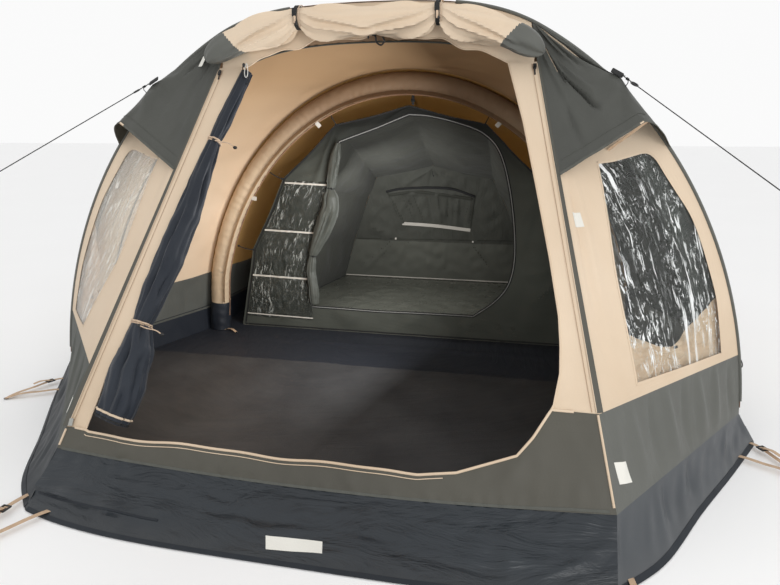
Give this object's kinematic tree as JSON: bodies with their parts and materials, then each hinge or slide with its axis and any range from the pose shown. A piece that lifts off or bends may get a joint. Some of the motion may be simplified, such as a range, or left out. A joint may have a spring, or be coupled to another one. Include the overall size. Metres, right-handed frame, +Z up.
{
  "type": "inflatable tent",
  "caption": "Air-beam family tent with a sloping zipped door front, window panels under stretched hoods, a mud skirt, a living space and a hung sleeping cabin at the rear.",
  "frame": {"origin": "on the ground under the middle of the groundsheet", "axes": "+Z up; the door faces -Y, the sleeping cabin is towards +Y, +X is to the right of someone facing the tent from the front"},
  "size_m": [6.4146, 5.8081, 2.195],
  "materials": {
    "beige_cotton": "matt beige polycotton cloth",
    "grey_ripstop": "grey-green coated polyester with a fine rib",
    "navy_coated": "navy coated polyester with a soft sheen",
    "groundsheet": "dark woven coated groundsheet",
    "clear_film": "clear flexible window film, slightly crinkled",
    "cabin_grey": "thin dark grey breathable cloth",
    "navy_mesh": "fine dark insect mesh",
    "beam_sleeve": "beige sleeve drawn tight over an air tube",
    "webbing": "pale beige woven webbing",
    "black_cord": "black braided cord",
    "peg_steel": "plain steel wire"
  },
  "bodies": {
    "root": {"front_panel_left": "beige_cotton", "front_panel_right": "beige_cotton", "front_header": "beige_cotton", "door_sill": "grey_ripstop", "side_panel_left": "beige_cotton", "side_panel_right": "beige_cotton", "side_lower_left": "grey_ripstop", "side_lower_right": "grey_ripstop", "side_window_left": "clear_film", "side_window_right": "clear_film", "window_curtain_left": "beige_cotton", "window_curtain_right": "beige_cotton", "hood_left": "grey_ripstop", "hood_right": "grey_ripstop", "front_arch_cover": "grey_ripstop", "mid_roof": "beige_cotton", "mid_wall_left": "beige_cotton", "mid_wall_right": "beige_cotton", "mid_lower_left": "grey_ripstop", "mid_lower_right": "grey_ripstop", "rear_roof": "beige_cotton", "rear_lower_left": "grey_ripstop", "rear_lower_right": "grey_ripstop", "rear_wall": "beige_cotton", "rear_lower": "grey_ripstop", "vent_hood_left": "grey_ripstop", "vent_hood_right": "grey_ripstop", "skirt_front": "navy_coated", "skirt_corner_left": "navy_coated", "skirt_corner_right": "navy_coated", "skirt_side_left": "navy_coated", "skirt_side_right": "navy_coated", "skirt_rear": "navy_coated", "groundsheet": "groundsheet", "front_beam": "beam_sleeve", "mid_beam": "beam_sleeve", "rear_beam": "beam_sleeve", "door_roll": "beige_cotton", "mesh_door_roll": "navy_mesh", "inner_canopy": "cabin_grey", "inner_rear_wall": "cabin_grey", "inner_front": "cabin_grey", "inner_floor": "groundsheet", "inner_door_roll": "cabin_grey", "net_pockets": "navy_mesh", "guy_left": "black_cord", "guy_right": "black_cord", "guy_peg_left": "peg_steel", "guy_peg_right": "peg_steel", "strap_front_left": "webbing", "strap_front_right": "webbing", "strap_side_left": "webbing", "strap_side_right": "webbing"}
  },
  "joints": []
}
